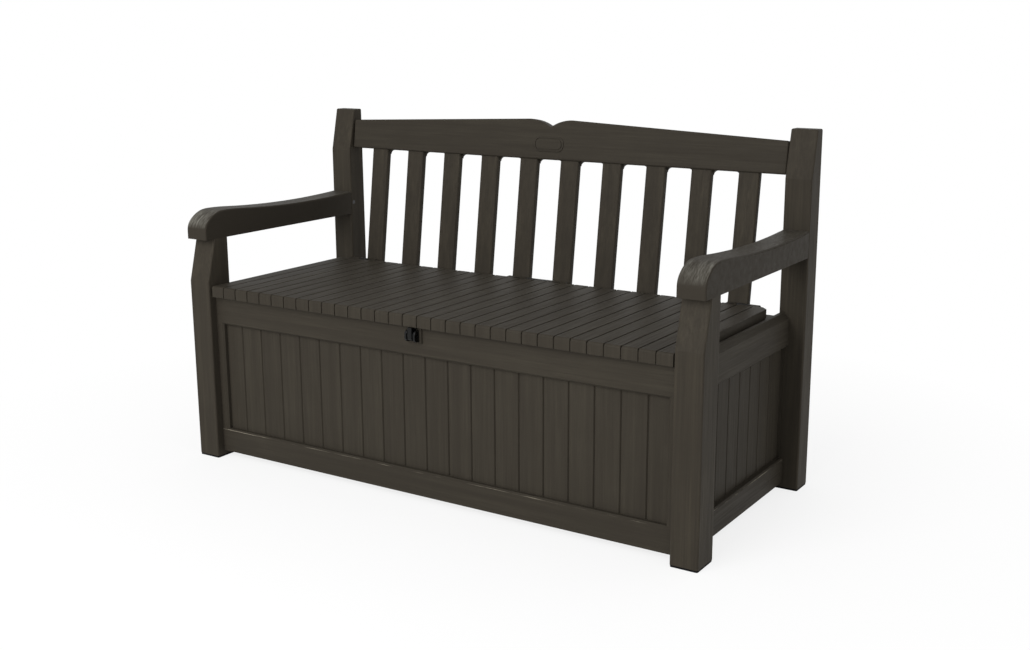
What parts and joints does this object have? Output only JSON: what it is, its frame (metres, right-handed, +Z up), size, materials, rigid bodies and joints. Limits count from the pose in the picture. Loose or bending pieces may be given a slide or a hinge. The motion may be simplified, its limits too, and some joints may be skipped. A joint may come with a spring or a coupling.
{
  "type": "storage bench",
  "caption": "Outdoor bench with a slatted back, armrests and a hinged planked seat that lifts off a panelled storage box, with a padlock eye under the front lip.",
  "frame": {"origin": "on the floor, under the middle of the bench's width and depth", "axes": "+X along the seat to the right as seen from the front, +Y towards the back, +Z up"},
  "size_m": [1.4, 0.612, 0.847],
  "materials": {
    "resin": "moulded dark brown-grey resin with an embossed wood grain",
    "badge": "smooth moulded resin, left bare",
    "lock": "glossy black",
    "foot": "dark matt pads",
    "steel": "plain zinc-plated"
  },
  "bodies": {
    "bench_frame": {"armrest_screws": "steel", "backrest_lower_rail": "resin", "backrest_rail_screws": "steel", "backrest_slat_01": "resin", "backrest_slat_02": "resin", "backrest_slat_03": "resin", "backrest_slat_04": "resin", "backrest_slat_05": "resin", "backrest_slat_06": "resin", "backrest_slat_07": "resin", "backrest_slat_08": "resin", "backrest_slat_09": "resin", "backrest_slat_10": "resin", "backrest_top_rail": "resin", "badge_plate": "badge", "floor_panel": "resin", "front_panel": "resin", "hinge_screws": "steel", "left_armrest": "resin", "left_front_foot": "foot", "left_front_leg": "resin", "left_hinge_bracket": "resin", "left_hinge_pin": "steel", "left_rear_foot": "foot", "left_rear_post": "resin", "left_side_panel": "resin", "lock_eye": "lock", "lower_rail_screws": "steel", "middle_hinge_bracket": "resin", "middle_hinge_pin": "steel", "rear_panel": "resin", "right_armrest": "resin", "right_front_foot": "foot", "right_front_leg": "resin", "right_hinge_bracket": "resin", "right_hinge_pin": "steel", "right_rear_foot": "foot", "right_rear_post": "resin", "right_side_panel": "resin"},
    "lid": {"seat_lid": "resin", "lid_hasp": "lock", "hasp_screws": "steel"}
  },
  "joints": [
    {"name": "lid_hinge", "type": "hinge", "parent": "bench_frame", "child": "lid", "pos_m": [0, 0.207, 0.435], "axis": [-1, 0, 0], "range_deg": [0, 95]}
  ]
}
